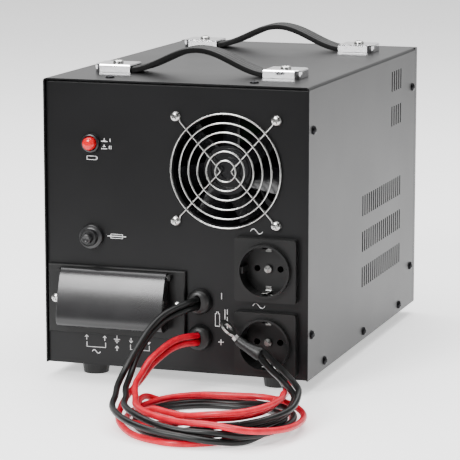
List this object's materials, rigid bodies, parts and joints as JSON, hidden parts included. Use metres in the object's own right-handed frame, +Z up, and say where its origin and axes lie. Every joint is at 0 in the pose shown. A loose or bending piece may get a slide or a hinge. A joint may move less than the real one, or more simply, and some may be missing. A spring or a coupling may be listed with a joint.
{
  "type": "power inverter",
  "caption": "Box-shaped power inverter with carrying straps, a guarded fan, mains sockets, a covered terminal block and coiled battery cables.",
  "frame": {"origin": "middle of the case's bounding box, without the battery cables, on the plane that the feet stand on", "axes": "+Z up, +Y from the rear panel with the sockets and cables to the front panel with the display, +X to the right when looking at the rear panel"},
  "size_m": [0.2508, 0.5201, 0.2639],
  "materials": {
    "case_paint": "fine satin powder coat",
    "rubber_black": "matt",
    "chrome": "polished",
    "zinc_steel": "bright zinc",
    "black_plastic": "fine moulded satin",
    "red_plastic": "gloss",
    "black_cable": "satin sheath",
    "red_cable": "glossy sheath",
    "winding": "varnished tape and wire",
    "circuit_board": "solder resist",
    "aluminium": "extruded",
    "display_glass": "smoked"
  },
  "bodies": {
    "root": {"base_tray": "case_paint", "battery_cable_black_1": "black_cable", "battery_cable_black_2": "black_cable", "battery_cable_red_1": "red_cable", "battery_cable_red_2": "red_cable", "breaker_body": "black_plastic", "breaker_nut": "black_plastic", "cable_grommet_black": "rubber_black", "cable_grommet_red": "rubber_black", "cable_lug_black": "zinc_steel", "cable_lug_red": "zinc_steel", "cable_sleeve_black": "rubber_black", "cable_sleeve_red": "rubber_black", "charge_switch_body": "black_plastic", "display_board": "circuit_board", "display_lens": "display_glass", "earth_clip_lower": "zinc_steel", "earth_clip_upper": "zinc_steel", "fan_frame": "black_plastic", "fan_guard": "chrome", "fan_screw_1": "zinc_steel", "fan_screw_2": "zinc_steel", "fan_screw_3": "zinc_steel", "fan_screw_4": "zinc_steel", "foot_front_left": "rubber_black", "foot_front_right": "rubber_black", "foot_rear_left": "rubber_black", "foot_rear_right": "rubber_black", "front_panel": "case_paint", "handle_cap_front_left": "chrome", "handle_cap_front_right": "chrome", "handle_cap_rear_left": "chrome", "handle_cap_rear_right": "chrome", "handle_screw_front_left": "zinc_steel", "handle_screw_front_right": "zinc_steel", "handle_screw_rear_left": "zinc_steel", "handle_screw_rear_right": "zinc_steel", "handle_strap_front": "rubber_black", "handle_strap_rear": "rubber_black", "heat_sink": "aluminium", "main_board": "circuit_board", "power_switch_body": "black_plastic", "rear_panel": "case_paint", "socket_lower": "black_plastic", "socket_screw_lower": "zinc_steel", "socket_screw_upper": "zinc_steel", "socket_upper": "black_plastic", "terminal_base": "black_plastic", "terminal_hinge_pin": "zinc_steel", "terminal_screw_left": "zinc_steel", "terminal_screw_right": "zinc_steel", "terminal_strip": "black_plastic", "top_cover": "case_paint", "transformer": "winding", "transformer_clamp": "zinc_steel"},
    "fan": {"fan_rotor": "black_plastic"},
    "charge_button": {"charge_button": "red_plastic"},
    "breaker_button": {"breaker_button": "black_plastic"},
    "terminal_flap": {"terminal_cover": "black_plastic"},
    "power_rocker": {"power_rocker": "black_plastic"}
  },
  "joints": [
    {"name": "fan_spin", "type": "hinge", "parent": "root", "child": "fan", "pos_m": [0.042, -0.1426, 0.1733], "axis": [0, 1, 0], "continuous": true},
    {"name": "charge_button_press", "type": "slide", "parent": "root", "child": "charge_button", "axis": [0, 1, 0], "range_m": [0, 0.003], "stiffness_N_per_m": 300},
    {"name": "breaker_button_pop", "type": "slide", "parent": "root", "child": "breaker_button", "axis": [0, -1, 0], "range_m": [0, 0.004]},
    {"name": "terminal_flap_hinge", "type": "hinge", "parent": "root", "child": "terminal_flap", "pos_m": [-0.049, -0.1646, 0.0874], "axis": [-1, 0, 0], "range_deg": [0, 95]},
    {"name": "power_rocker_tilt", "type": "hinge", "parent": "root", "child": "power_rocker", "pos_m": [0.074, 0.1744, 0.053], "axis": [0, 0, 1], "range_deg": [-12, 0]}
  ]
}
